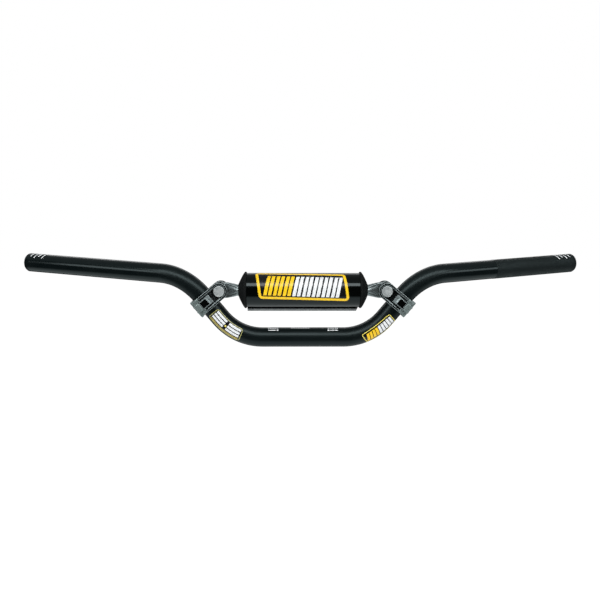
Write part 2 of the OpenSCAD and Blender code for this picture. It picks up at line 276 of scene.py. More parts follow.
def casting(name, color, other, low, high, metallic):
    """Bead-blasted and anodised casting: fine even grain, with a patchy painted highlight that makes its
    convex edges lighter.
    """
    f = Finish(name, color, (low + high) / 2, Metallic=metallic)
    grain = f.noise(2600, 4)
    cloud = f.noise(140, 3)
    edge = f.node("ShaderNodeNewGeometry").outputs["Pointiness"]
    # Painted highlight: convex edges, found by pointiness and broken up by the cloud, take a lighter
    # colour
    painted_edge_highlight = f.math("MULTIPLY", f.spread(edge, 0, 1, 0.53, 0.62), f.spread(cloud, 0.4, 1))
    shade = f.blend(f.spread(cloud, 0, 1), color, other)
    edge_highlight_color = tuple(min(1.0, 2.2 * c + 0.03) for c in color)
    out = f.blend(painted_edge_highlight, shade, edge_highlight_color)
    f.links.new(out, f.shader.inputs["Base Color"])
    f.gloss(grain, low, high)
    f.relief(grain, 0.02 * MM)
    return f.material


def turned_steel():
    """Pivot sleeve: bright steel faced on a lathe, with fine rings on its head."""
    f = Finish("turned_steel", (0.68, 0.73, 0.73), 0.32, Metallic=0.5)
    rings = f.noise(5200, 2, (1, 0.0, 0), "UV")
    cloud = f.noise(260, 4)
    f.tint(f.spread(cloud, 0, 1), (0.42, 0.46, 0.47))
    f.gloss(rings, 0.26, 0.42)
    f.relief(rings, 0.012 * MM)
    return f.material


def zinc():
    f = Finish("zinc_plate", (0.42, 0.44, 0.45), 0.35, Metallic=1.0)
    cloud = f.noise(700, 4)
    f.tint(f.spread(cloud, 0, 1), (0.3, 0.32, 0.33))
    f.gloss(cloud, 0.25, 0.5)
    f.relief(f.noise(2200, 2), 0.01 * MM)
    return f.material


def nylon():
    f = Finish("nylon_washer", (0.02, 0.021, 0.022), 0.5)
    f.gloss(f.noise(900, 3), 0.42, 0.62)
    f.relief(f.noise(1500, 3), 0.02 * MM)
    return f.material


def foam_skin():
    """Closed-cell foam with a moulded skin: matt, finely pitted."""
    f = Finish(
        "closed_cell_foam",
        (0.0035, 0.0042, 0.0044),
        0.75,
        Specular_IOR_Level=0.15,
    )
    cells = f.node("ShaderNodeTexVoronoi", Vector=f.coords(), Scale=1500.0).outputs[
        "Distance"
    ]
    cloud = f.noise(160, 4)
    f.tint(f.spread(cloud, 0, 1), (0.0055, 0.0064, 0.0066))
    f.gloss(cloud, 0.62, 0.85)
    f.relief(cells, 0.07 * MM)
    f.relief(cloud, 0.12 * MM)
    return f.material


def vinyl():
    """Glossy coated cloth stretched on the foam: its weave shows very faintly through the coat."""
    f = Finish(
        "gloss_vinyl",
        (0.0009, 0.0012, 0.0011),
        0.1,
        Specular_IOR_Level=0.38,
        Specular_Tint=(0.84, 0.98, 1, 1),
    )
    weave = f.math("MULTIPLY", *weave_waves(f, 0.7 * MM))
    cloud = f.noise(70, 4)
    f.gloss(cloud, 0.08, 0.14)
    f.tint(f.spread(cloud, 0, 1), (0.0014, 0.0018, 0.0017))
    f.relief(weave, 0.002 * MM)
    f.relief(cloud, 0.03 * MM)
    return f.material


def flap_edge_highlight():
    """Painted highlight for the flap's lower rows: a satin grey cloth with a fine woven relief, lighter
    than the vinyl, in place of the light its lower edge catches.
    """
    f = Finish("flap_edge_highlight", (0.26, 0.28, 0.285), 0.5, Specular_IOR_Level=0.3)
    weave = f.math("MULTIPLY", *weave_waves(f, 0.5 * MM))
    cloud = f.noise(260, 4)
    f.tint(f.spread(cloud, 0, 1), (0.18, 0.195, 0.2))
    f.gloss(cloud, 0.4, 0.6)
    f.relief(weave, 0.02 * MM)
    return f.material


def weave_waves(f, pitch, kind="UV"):
    split = f.node("ShaderNodeSeparateXYZ", Vector=f.coords(kind))
    return [
        f.math(
            "ABSOLUTE",
            f.math("SINE", f.math("MULTIPLY", split.outputs[axis], math.pi / pitch)),
        )
        for axis in ("X", "Y")
    ]


def closure_tape(name, pile):
    """Hook or loop tape: a dense pile on a woven ground."""
    f = Finish(
        name, (0.012, 0.012, 0.013), 0.85, Specular_IOR_Level=0.25, Sheen_Weight=0.1
    )
    hairs = f.noise(pile, 4)
    f.tint(f.spread(hairs, 0, 1), (0.03, 0.031, 0.033))
    f.gloss(hairs, 0.7, 0.95)
    f.relief(hairs, 0.2 * MM)
    return f.material


def ink(name, color, other, roughness=0.32):
    """Printed film under a clear coat, a little uneven in its cover."""
    f = Finish(
        name,
        color,
        roughness,
        Specular_IOR_Level=0.4,
        Coat_Weight=0.2,
        Coat_Roughness=0.15,
    )
    cloud = f.noise(500, 4)
    f.tint(f.spread(cloud, 0, 1), other)
    f.gloss(cloud, roughness - 0.06, roughness + 0.1)
    f.relief(f.noise(1800, 3), 0.006 * MM)
    return f.material


ANODISED = anodised()
KNURLED = knurled()
BARE_CUT = bare_cut()
BORE = casting("drawn_bore", (0.1, 0.11, 0.11), (0.06, 0.065, 0.07), 0.4, 0.6, 0.8)
GREY_TUBE = grey_tube()
# Painted shade: the clamp body takes a darker copy of the cap's grey casting, for the dark that its flat
# faces mirror
CAST_DARK = casting(
    "shaded_grey_casting", (0.1, 0.12, 0.125), (0.07, 0.085, 0.09), 0.16, 0.26, 1.0
)
# A lighter copy of the clamp casting: painted highlight on the clamp bodies' rounded edges and their
# bosses' sloping tops
CAST_HIGHLIGHT = casting(
    "painted_highlight_casting", (0.27, 0.32, 0.325), (0.2, 0.24, 0.245), 0.3, 0.42, 0.4
)
CAST_GREY = casting(
    "grey_casting", (0.23, 0.285, 0.28), (0.17, 0.215, 0.21), 0.32, 0.46, 0.5
)
STEEL = turned_steel()
ZINC = zinc()
NYLON = nylon()
FOAM = foam_skin()
VINYL = vinyl()
FLAP_HIGHLIGHT = flap_edge_highlight()
HOOKS = closure_tape("hook_tape", 2600)
LOOPS = closure_tape("loop_tape", 1500)
INK_BLACK = ink("ink_black", (0.004, 0.0042, 0.0048), (0.006, 0.006, 0.007), 0.22)
INK_WHITE = ink("ink_white", (0.84, 0.86, 0.87), (0.76, 0.79, 0.81))
INK_YELLOW = ink("ink_yellow", (0.95, 0.62, 0.01), (0.9, 0.55, 0.007))
INK_PALE = ink("ink_pale_yellow", (0.83, 0.74, 0.16), (0.75, 0.62, 0.1))
INK_GOLD = ink("ink_gold", (0.5, 0.4, 0.09), (0.27, 0.22, 0.05))
INK_OLIVE = ink("ink_olive", (0.46, 0.45, 0.18), (0.36, 0.36, 0.12))


# Mesh helpers ---------------------------------------------------------------


def piece(name, mesh, body, slot, *nodes, sharp=35):
    """An object for a finished mesh, smooth but for its sharp edges, riding on its CAD body."""
    obj = bpy.data.objects.new(name, mesh)
    bpy.context.scene.collection.objects.link(obj)
    for face in mesh.polygons:
        face.use_smooth = True
    mesh.set_sharp_from_angle(angle=math.radians(sharp))
    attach(obj, body)
    if nodes:
        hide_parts(*nodes)
    return obj


def mesh_of(name, verts, faces, materials, kinds=None, uvs=None):
    """A mesh from points and faces: kinds gives each face's material, uvs each face corner's place."""
    mesh = bpy.data.meshes.new(name)
    mesh.from_pydata(verts, [], faces)
    for material in materials:
        mesh.materials.append(material)
    if kinds:
        mesh.polygons.foreach_set("material_index", kinds)
    if uvs:
        layer = mesh.uv_layers.new(name="UVMap")
        layer.data.foreach_set("uv", [x for uv in uvs for x in uv])
    mesh.update()
    return mesh


def ring_skin(rings, around, closed_path=False, closed_ring=True):
    """Faces and corner pairs (ring, step) of a skin over rings of equal count."""
    faces, corners = [], []
    steps = around if closed_ring else around - 1
    last = len(rings) if closed_path else len(rings) - 1
    for i in range(last):
        j = (i + 1) % len(rings)
        for k in range(steps):
            m = (k + 1) % around
            faces.append(
                (i * around + k, i * around + m, j * around + m, j * around + k)
            )
            corners.append(((i, k), (i, k + 1), (i + 1, k + 1), (i + 1, k)))
    return faces, corners


def facing_out(mesh):
    """Turns every face of a closed mesh outwards."""
    made = bmesh.new()
    made.from_mesh(mesh)
    bmesh.ops.recalc_face_normals(made, faces=made.faces)
    made.to_mesh(mesh)
    made.free()
    return mesh


def eased(name, node, width, materials, slot, second=None):
    """A copy of a frame node's shape with its sharp edges rounded over; the edges and the faces that
    second picks take the last material."""
    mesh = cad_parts[node].data.copy()
    mesh.materials.clear()
    for material in materials:
        mesh.materials.append(material)
    made = bmesh.new()
    made.from_mesh(mesh)
    bmesh.ops.remove_doubles(made, verts=made.verts, dist=0.002 * MM)
    bmesh.ops.dissolve_limit(
        made, angle_limit=math.radians(0.5), verts=made.verts, edges=made.edges
    )
    for face in made.faces:
        face.material_index = 1 if second and second(face) else 0
    made.to_mesh(mesh)
    made.free()
    obj = piece(name, mesh, "frame", slot, node)
    bevel = obj.modifiers.new("eased edges", "BEVEL")
    bevel.width = width
    bevel.segments = 3
    bevel.limit_method = "ANGLE"
    bevel.angle_limit = math.radians(32)
    bevel.use_clamp_overlap = False
    bevel.material = len(materials) - 1


# Main tube ------------------------------------------------------------------

# (length, direction at its end, bend radius or 0) for each stretch of the right half
STRETCHES = (
    (CENTRE_HALF, None, 0),
    (LOW_BEND_LEN, UPRIGHT_DIR, LOW_BEND_R),
    (UPRIGHT_LEN, None, 0),
    (TOP_BEND_LEN, GRIP_DIR, TOP_BEND_R),
    (GRIP_LEN, None, 0),
)
BAR_HALF = GRIP_START_S + GRIP_LEN
UPRIGHT_S = CENTRE_HALF + LOW_BEND_LEN


def axis_at(s):
    """Point on the bar's axis at signed distance s from its middle, and the along, front and up
    directions there."""
    point, along = Vector(), Vector((1, 0, 0))
    front, up = Vector((0, -1, 0)), Vector((0, 0, 1))
    rest = abs(s)
    for length, aim, radius in STRETCHES:
        step = min(rest, length)
        if radius:
            inward = (aim - aim.dot(along) * along).normalized()
            centre = point + radius * inward
            turn = Matrix.Rotation(step / radius, 3, along.cross(inward))
            point = centre + turn @ (point - centre)
            along, front, up = turn @ along, turn @ front, turn @ up
        else:
            point = point + step * along
        rest -= step
        if rest <= 0:
            break
    point = point + rest * along
    if s < 0:
        point, front, up = (Vector((-v.x, v.y, v.z)) for v in (point, front, up))
        along = Vector((along.x, -along.y, -along.z))
    return point, along, front, up


def on_bar(s, angle, radius=TUBE_R):
    """Point on the bar's skin: angle is from the front, towards the top."""
    point, along, front, up = axis_at(s)
    return point + radius * (math.cos(angle) * front + math.sin(angle) * up)


def bar_distances():
    """Distances for the tube's rings: close in the bends, wider on the straights."""
    found, start = [0.0], 0.0
    for length, aim, radius in STRETCHES:
        count = math.ceil(length / (2 * MM if radius else 6 * MM))
        found += [start + length * (i + 1) / count for i in range(count)]
        start += length
    return found


def outer_radius(s):
    if s > BAR_HALF - KNURL_LEN:
        return TUBE_R + KNURL_H
    return TUBE_R


def build_tube():
    around = 80
    half = bar_distances()
    distances = [-s for s in reversed(half)][:-1] + half
    knurl_start = BAR_HALF - KNURL_LEN
    distances += [knurl_start, knurl_start + KNURL_H]
    distances += [-BAR_HALF + TIP_CHAMFER, BAR_HALF - TIP_CHAMFER]
    distances = sorted(set(round(s, 7) for s in distances))
    # (distance, radius, material of the skin that follows)
    rings = []
    for s in distances:
        radius = outer_radius(s - KNURL_H / 2)
        if abs(abs(s) - BAR_HALF) < 1e-6:
            radius -= TIP_CHAMFER / 2
        rings.append((s, radius, 1 if s > knurl_start else 0))
    rings[0] = (*rings[0][:2], 2)
    rings[-2] = (*rings[-2][:2], 2)
    lip = 0.4 * MM
    rings[-1] = (*rings[-1][:2], 2)
    rings.append((BAR_HALF, BORE_R + lip, 2))
    rings += [(s, BORE_R, 3) for s in reversed(distances) if abs(s) < BAR_HALF - lip]
    rings.append((-BAR_HALF, BORE_R + lip, 2))
    verts = [
        on_bar(s, 2 * math.pi * k / around, radius)
        for s, radius, kind in rings
        for k in range(around)
    ]
    faces, corners = ring_skin(rings, around, closed_path=True)
    kinds = [rings[c[0][0]][2] for c in corners]
    uvs = [
        (rings[i % len(rings)][0], 2 * math.pi * k / around * TUBE_R)
        for c in corners
        for i, k in c
    ]
    faces = [face[::-1] for face in faces]
    uvs = [uv for n in range(0, len(uvs), 4) for uv in reversed(uvs[n : n + 4])]
    mesh = mesh_of(
        "bar_tube_skin", verts, faces, [ANODISED, KNURLED, BARE_CUT, BORE], kinds, uvs
    )
    return piece("bar_tube_skin", mesh, "frame", "black_anodised", "bar_tube")


build_tube().visible_glossy = False


# Printed marks ----------------------------------------------------------------


class Print:
    """Flat shapes laid on a curved surface: place(u, v, lift) is the point at u, v on it, in metres."""

    cell = 1.0 * MM

    def __init__(self, place):
        self.place = place
        self.verts, self.faces, self.kinds, self.materials = [], [], [], []

    def kind(self, material):
        if material not in self.materials:
            self.materials.append(material)
        return self.materials.index(material)

    def quad(self, a, b, c, d, material, lift=0.04 * MM):
        """Corners a, b, c, d in mm, in order round the shape."""
        a, b, c, d = (Vector(p) * MM for p in (a, b, c, d))
        across = max(
            1, math.ceil(max((b - a).length, (c - d).length) / self.cell - 1e-6)
        )
        down = max(1, math.ceil(max((d - a).length, (c - b).length) / self.cell - 1e-6))
        base, index = len(self.verts), self.kind(material)
        for j in range(down + 1):
            left, right = a.lerp(d, j / down), b.lerp(c, j / down)
            for i in range(across + 1):
                self.verts.append(self.place(*left.lerp(right, i / across), lift))
        for j in range(down):
            for i in range(across):
                n = base + j * (across + 1) + i
                self.faces.append((n, n + 1, n + across + 2, n + across + 1))
                self.kinds.append(index)

    def frame(self, corners, radius, width, material, lift=0.06 * MM):
        """A border line round a polygon with rounded corners, in mm."""
        outline = rounded(corners, radius)
        inner = rounded(inset(corners, width), max(0.05, radius - width))
        for i in range(len(outline)):
            j = (i + 1) % len(outline)
            self.quad(outline[i], outline[j], inner[j], inner[i], material, lift)

    def fill(self, corners, radius, material, lift=0.02 * MM):
        """A filled polygon with rounded corners: a fan of strips from its middle line, in mm."""
        outline = rounded(corners, radius)
        middle = sum((Vector(p) for p in outline), Vector((0, 0))) / len(outline)
        for i in range(len(outline)):
            a, b = Vector(outline[i]), Vector(outline[(i + 1) % len(outline)])
            self.quad(a, b, middle, middle, material, lift)

    def build(self, name, body, slot, *nodes):
        mesh = mesh_of(name, self.verts, self.faces, self.materials, self.kinds)
        tidy = bmesh.new()
        tidy.from_mesh(mesh)
        bmesh.ops.remove_doubles(tidy, verts=tidy.verts, dist=0.0005 * MM)
        bmesh.ops.recalc_face_normals(tidy, faces=tidy.faces)
        tidy.to_mesh(mesh)
        tidy.free()
        return piece(name, mesh, body, slot, *nodes)


def rounded(corners, radius, steps=5):
    """A polygon's outline with its corners rounded by arcs."""
    points = []
    count = len(corners)
    for i in range(count):
        p = Vector(corners[i])
        before = (Vector(corners[i - 1]) - p).normalized()
        after = (Vector(corners[(i + 1) % count]) - p).normalized()
        half = before.angle(after) / 2
        cut = radius / math.tan(half)
        centre = p + (before + after).normalized() * radius / math.sin(half)
        start, end = p + before * cut - centre, p + after * cut - centre
        for k in range(steps + 1):
            t = k / steps
            arm = (start * (1 - t) + end * t).normalized() * radius
            points.append(centre + arm)
    return points


def inset(corners, width):
    """A convex polygon's corners moved in so that its sides lie width further in."""
    moved = []
    count = len(corners)
    for i in range(count):
        p = Vector(corners[i])
        before = (Vector(corners[i - 1]) - p).normalized()
        after = (Vector(corners[(i + 1) % count]) - p).normalized()
        half = before.angle(after) / 2
        moved.append(p + (before + after).normalized() * width / math.sin(half))
    return moved


def slanted(left, right, low, high, lean):
    """Corners of a bar from low to high that leans right by lean at its top."""
    return ((left, low), (right, low), (right + lean, high), (left + lean, high))


def tube_place(side, middle, turn, sag):
    """Maps u along one side of the bar from middle and v round it from turn; sag is how far the sheet
    drops 20 mm either way from its middle."""

    def place(u, v, lift):
        low = v - sag * (u / (20 * MM)) ** 2
        return on_bar(side * (middle + side * u), turn + low / TUBE_R, TUBE_R + lift)

    return place


# Cameras, light and stage -----------------------------------------------------


def place_camera():
    distance, lens_px, frame_px = 0.78, 681.6, 600
    tilt, yaw, roll = math.radians(8.5), math.radians(-0.95), math.radians(0.15)
    aside, above = -0.0033, 0.0423
    back = Vector(
        (
            math.sin(yaw) * math.cos(tilt),
            -math.cos(yaw) * math.cos(tilt),
            math.sin(tilt),
        )
    )
    right = Vector((math.cos(yaw), math.sin(yaw), 0))
    up = right.cross(-back)
    right, up = (
        math.cos(roll) * right + math.sin(roll) * up,
        math.cos(roll) * up - math.sin(roll) * right,
    )
    camera = bpy.data.objects.new("camera", bpy.data.cameras.new("camera"))
    camera.data.sensor_width = 36
    camera.data.lens = lens_px / frame_px * 36
    camera.data.clip_start = 0.01
    place = distance * back + aside * right + above * up
    camera.matrix_world = Matrix(
        (
            (right.x, up.x, back.x, place.x),
            (right.y, up.y, back.y, place.y),
            (right.z, up.z, back.z, place.z),
            (0, 0, 0, 1),
        )
    )
    bpy.context.scene.collection.objects.link(camera)
    bpy.context.scene.camera = camera


def softbox(name, place, target, width, height, radiance, mirrored=True):
    """A rectangular studio light; radiance is its brightness as a mirror would show it."""
    lamp = bpy.data.lights.new(name, "AREA")
    lamp.shape = "RECTANGLE"
    lamp.size, lamp.size_y = width, height
    lamp.energy = radiance * math.pi * width * height
    obj = bpy.data.objects.new(name, lamp)
    obj.location = place
    aim = Vector(target) - Vector(place)
    obj.rotation_euler = aim.to_track_quat("-Z", "Y").to_euler()
    obj.visible_camera = False
    obj.visible_glossy = mirrored
    bpy.context.scene.collection.objects.link(obj)


def light_scene():
    softbox("key", (0, -0.85, 0.88), (0, 0, 0.05), 2.6, 0.4, 4.6)
    softbox("left", (-1.15, -0.75, 0.42), (-0.2, 0, 0.05), 0.5, 0.34, 3.0)
    softbox("right", (1.15, -0.75, 0.42), (0.2, 0, 0.05), 0.5, 0.34, 3.0)
    softbox("back", (0, 1.2, 0.7), (0, 0, 0.05), 2.0, 0.4, 1.6)
    softbox("fill", (0, -0.5, 1.5), (0, 0, 0.05), 2.2, 1.2, 0.9, mirrored=False)
    world = bpy.data.worlds.new("studio")
    world.use_nodes = True
    nodes, links = world.node_tree.nodes, world.node_tree.links
    nodes.clear()
    # The room: dark walls round a pale table under a dim ceiling
    height = nodes.new("ShaderNodeSeparateXYZ")
    links.new(nodes.new("ShaderNodeTexCoord").outputs["Generated"], height.inputs[0])
    share = nodes.new("ShaderNodeMapRange")
    share.inputs["From Min"].default_value = -1
    links.new(height.outputs["Z"], share.inputs["Value"])
    ramp = nodes.new("ShaderNodeValToRGB")
    links.new(share.outputs[0], ramp.inputs[0])
    stops = ramp.color_ramp.elements
    for sine, shade in ((-0.72, 0.8), (-0.55, 0.006), (0.45, 0.006), (0.62, 0.32)):
        stops.new((sine + 1) / 2).color = (0.93 * shade, shade, shade, 1)
    stops[0].color = (0.75, 0.8, 0.8, 1)
    stops[-1].color = (0.19, 0.2, 0.2, 1)
    room, white = (nodes.new("ShaderNodeBackground") for i in range(2))
    links.new(ramp.outputs[0], room.inputs["Color"])
    white.inputs["Color"].default_value = (1, 1, 1, 1)
    mixed = nodes.new("ShaderNodeMixShader")
    seen = nodes.new("ShaderNodeLightPath").outputs["Is Camera Ray"]
    links.new(seen, mixed.inputs[0])
    links.new(room.outputs[0], mixed.inputs[1])
    links.new(white.outputs[0], mixed.inputs[2])
    links.new(
        mixed.outputs[0], nodes.new("ShaderNodeOutputWorld").inputs["Surface"]
    )
    bpy.context.scene.world = world
    bpy.context.scene.view_settings.view_transform = "Standard"


def build_floor():
    """Lit paper: it glows a little, so that it stays pale to its far edge."""
    half, low = 4.0, -0.34
    verts = [(-half, -half, low), (half, -half, low), (half, half, low), (-half, half, low)]
    paper = Finish("pale_floor", (0.2, 0.205, 0.205), 0.9, Specular_IOR_Level=0.1)
    paper.shader.inputs["Emission Color"].default_value = (1, 1, 1, 1)
    paper.shader.inputs["Emission Strength"].default_value = 0.98
    paper.tint(paper.spread(paper.noise(3, 3), 0, 1), (0.19, 0.2, 0.2))
    paper.relief(paper.noise(300, 3), 0.05 * MM)
    mesh = mesh_of("floor", verts, [(0, 1, 2, 3)], [paper.material])
    floor = bpy.data.objects.new("floor", mesh)
    floor.visible_glossy = False
    bpy.context.scene.collection.objects.link(floor)


place_camera()
light_scene()
build_floor()


# Crossbar -----------------------------------------------------------------------


def press_share(x):
    """0 on the round crossbar, 1 on its flattened end."""
    start, end = PIVOT.x - PRESS_LEN, PIVOT.x - EYE_REACH
    return min(1.0, max(0.0, (x - start) / (end - start)))


def crossbar_section(x, around):
    """Ring of the crossbar at x: round, then widened and pressed flat, creased twice down each face."""
    share = press_share(abs(x))
    high = CROSS_R + (EYE_H - CROSS_R) * share
    thick = CROSS_R + (EYE_T - CROSS_R) * share
    power = 2 + 5 * share
    past = abs(x) - PIVOT.x
    if past > 0:
        high = math.sqrt(max(0.04 * EYE_ROUND_R**2, EYE_ROUND_R**2 - past**2))
    run = (abs(x) - PIVOT.x + PRESS_LEN + 6 * MM) / (8 * MM)
    groove = 0.6 * MM * min(1.0, max(0.0, run)) * (1 - share**4)
    ring = []
    for k in range(around):
        angle = 2 * math.pi * k / around
        c, s = math.cos(angle), math.sin(angle)
        y = -thick * math.copysign(abs(c) ** (2 / power), c)
        z = high * math.copysign(abs(s) ** (2 / power), s)
        dip = groove * (0.5 - 0.5 * math.cos(3 * math.pi * s)) * abs(c) ** 0.7
        ring.append(Vector((x, y + math.copysign(dip, c), CROSS_Z + z)))
    return ring


def build_crossbar():
    around = 72
    reach = PIVOT.x + EYE_ROUND_R * 0.78
    press_start = PIVOT.x - PRESS_LEN - 7 * MM
    half = [press_start * i / 24 for i in range(25)]
    steps = 46
    half += [
        press_start + (reach - press_start) * (i + 1) / steps for i in range(steps)
    ]
    distances = [-x for x in reversed(half)][:-1] + half
    rings = [crossbar_section(x, around) for x in distances]
    verts = [p for ring in rings for p in ring]
    faces, corners = ring_skin(rings, around)
    uvs = [(distances[i], k * CROSS_R * 2 * math.pi / around) for c in corners for i, k in c]
    last = len(verts) - around
    faces.append(tuple(range(around - 1, -1, -1)))
    faces.append(tuple(range(last, last + around)))
    uvs += [(0, 0)] * (2 * around)
    mesh = facing_out(mesh_of("crossbar_skin", verts, faces, [GREY_TUBE], uvs=uvs))
    piece("crossbar_skin", mesh, "frame", "grey_aluminium", "crossbar_tube")


build_crossbar()


# Clamps and their hardware --------------------------------------------------------

def on_boss_slope(face):
    """Whether a face of a clamp body is the sloping top of one of its screw bosses."""
    for vert in face.verts:
        place = Vector((abs(vert.co.x), 0, vert.co.z)) - UPRIGHT_START
        height = place.dot(UPRIGHT_UP) / MM
        off_middle = abs(place.dot(UPRIGHT_DIR) - CLAMP_S) / MM
        if off_middle > 4.5 or not 4.5 < height < 7.9 or abs(vert.co.y) < 12 * MM:
            return False
    return True


for side in ("left", "right"):
    # The body's rounded edges and its bosses' sloping tops take the lighter casting as a painted highlight
    eased(
        f"{side}_clamp_cast",
        f"{side}_clamp_body",
        0.5 * MM,
        [CAST_DARK, CAST_HIGHLIGHT],
        "dark_casting",
        second=on_boss_slope,
    )
    eased(
        f"{side}_cap_cast", f"{side}_clamp_cap", 0.45 * MM, [CAST_GREY], "grey_casting"
    )
    eased(
        f"{side}_cap_bolts", f"{side}_clamp_screws", 0.25 * MM, [ZINC], "zinc_screws"
    )
    eased(
        f"{side}_pivot_bolt", f"{side}_pivot_screw", 0.25 * MM, [ZINC], "zinc_screws"
    )
    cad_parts[f"{side}_fork_washers"].data.materials.clear()
    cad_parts[f"{side}_fork_washers"].data.materials.append(NYLON)


def lathe(name, profile, centre, axis, material, slot, node):
    """Turned piece: profile is (radius, distance along axis) round a closed loop."""
    around = 64
    side = axis.orthogonal().normalized()
    other = axis.cross(side)
    verts = []
    for r, h in profile:
        for k in range(around):
            angle = 2 * math.pi * k / around
            verts.append(centre + h * axis + r * (math.cos(angle) * side + math.sin(angle) * other))
    faces, corners = ring_skin(profile, around, closed_path=True)
    uvs = [
        (profile[i % len(profile)][0], 2 * math.pi * k / around * TUBE_R)
        for c in corners
        for i, k in c
    ]
    mesh = facing_out(mesh_of(name, verts, faces, [material], uvs=uvs))
    piece(name, mesh, "frame", slot, node)


def build_sleeves():
    """The bright pivot sleeves: a chamfered head in front and a plain shaft through the fork."""
    floor, end = 11.2 * MM, -10.4 * MM
    head_r, shaft_r, bore_r = 6.1 * MM, 4 * MM, 2.55 * MM
    top = floor + 2.8 * MM
    centre_r = 0.02 * MM
    face_drop = 0.12 * MM
    bore_top = floor - 1.2 * MM
    profile = [
        (centre_r, top - face_drop),
        (head_r - 1.15 * MM, top - face_drop),
        (head_r - 1.0 * MM, top),
        (head_r - 0.65 * MM, top),
        (head_r - 0.5 * MM, top - 0.06 * MM),
        (head_r - 0.06 * MM, top - 0.5 * MM),
        (head_r, top - 0.7 * MM),
        (head_r, floor + 0.1 * MM),
        (head_r - 0.1 * MM, floor),
        (shaft_r, floor),
        (shaft_r, end + 0.3 * MM),
        (shaft_r - 0.3 * MM, end),
        (bore_r, end),
        (bore_r, bore_top),
        (centre_r, bore_top),
    ]
    for name, x in (("left", -PIVOT.x), ("right", PIVOT.x)):
        lathe(
            f"{name}_pivot_head",
            profile,
            Vector((x, 0, CROSS_Z)),
            Vector((0, -1, 0)),
            STEEL,
            "bright_steel",
            f"{name}_pivot_sleeve",
        )


build_sleeves()


# Pad ----------------------------------------------------------------------------


def foam_profile():
    """Radius against distance along the crossbar, from the bore round to the bore again."""
    rim_x = PAD_HALF - DOME_H
    dome = [
        (
            RIM_R - (RIM_R - DOME_TIP_R) * (0.03 + 0.97 * i / 18) ** DOME_POWER,
            rim_x + DOME_H * (0.03 + 0.96 * i / 18),
        )
        for i in range(19)
    ]
    shoulder = [
        (FOAM_R, rim_x - 2.15 * MM),
        (FOAM_R + 0.2 * MM, rim_x - 2.05 * MM),
        (RIM_R - 0.5 * MM, rim_x - 1.55 * MM),
        (RIM_R - 0.12 * MM, rim_x - 1.2 * MM),
        (RIM_R, rim_x - 0.8 * MM),
        (RIM_R, rim_x - 0.2 * MM),
    ]
    tip = [
        (FOAM_BORE_R + 0.12 * MM, PAD_HALF - 0.02 * MM),
        (FOAM_BORE_R + 0.02 * MM, PAD_HALF - 0.3 * MM),
    ]
    right = shoulder + dome + tip
    middle = [(FOAM_R, x * MM) for x in range(-60, 61, 6)]
    bore = [(FOAM_BORE_R, x * MM) for x in range(70, -71, -10)]
    left = [(r, -x) for r, x in reversed(right)]
    return left + middle + right + bore


def build_foam():
    """The split foam roll, turned almost all the way round, with soft unevenness in its skin."""
    profile = foam_profile()
    around = 97
    half_slit = math.radians(0.9)
    verts = []
    for r, x in profile:
        for k in range(around):
            angle = -math.pi / 2 + half_slit + (2 * math.pi - 2 * half_slit) * k / (around - 1)
            near_slit = min(k, around - 1 - k) / 4
            ease = 0.35 * MM * math.exp(-near_slit**2) if r > 12 * MM else 0
            p = Vector((x, r * math.cos(angle), r * math.sin(angle)))
            lump = noise.noise(p * 90) * 0.22 * MM if r > FOAM_R + 0.1 * MM else 0
            scale = (r + min(0.0, lump) - ease) / r
            verts.append(Vector((x, p.y * scale, CROSS_Z + p.z * scale)))
    faces, corners = ring_skin(profile, around, closed_path=True, closed_ring=False)
    for k in (0, around - 1):
        wall = tuple(i * around + k for i in range(len(profile)))
        faces.append(wall if k else wall[::-1])
    mesh = facing_out(mesh_of("pad_foam_roll", verts, faces, [FOAM]))
    foam = piece("pad_foam_roll", mesh, "pad", "foam", "pad_foam", sharp=50)


build_foam()

COVER_R = COVER_OUT_R - COVER_T / 2
LIP_Y = FIN_Y + COVER_T / 2
LIP_LOW = -COVER_OUT_R - FIN_H


def cover_section():
    """Middle line of the cover in (y, z) about the crossbar: from the flap's root round the foam to
    the back lip's edge."""
    start = math.asin((LIP_Y + COVER_T / 2 + 0.35 * MM) / COVER_R)
    end = math.asin(LIP_Y / COVER_R)
    steps = 120
    line = []
    for i in range(steps + 1):
        angle = start + (2 * math.pi - start - end) * i / steps
        line.append((-COVER_R * math.sin(angle), -COVER_R * math.cos(angle)))
    top = line[-1][1] - 0.6 * MM
    line += [(LIP_Y, top + (LIP_LOW - top) * i / 8) for i in range(9)]
    return line


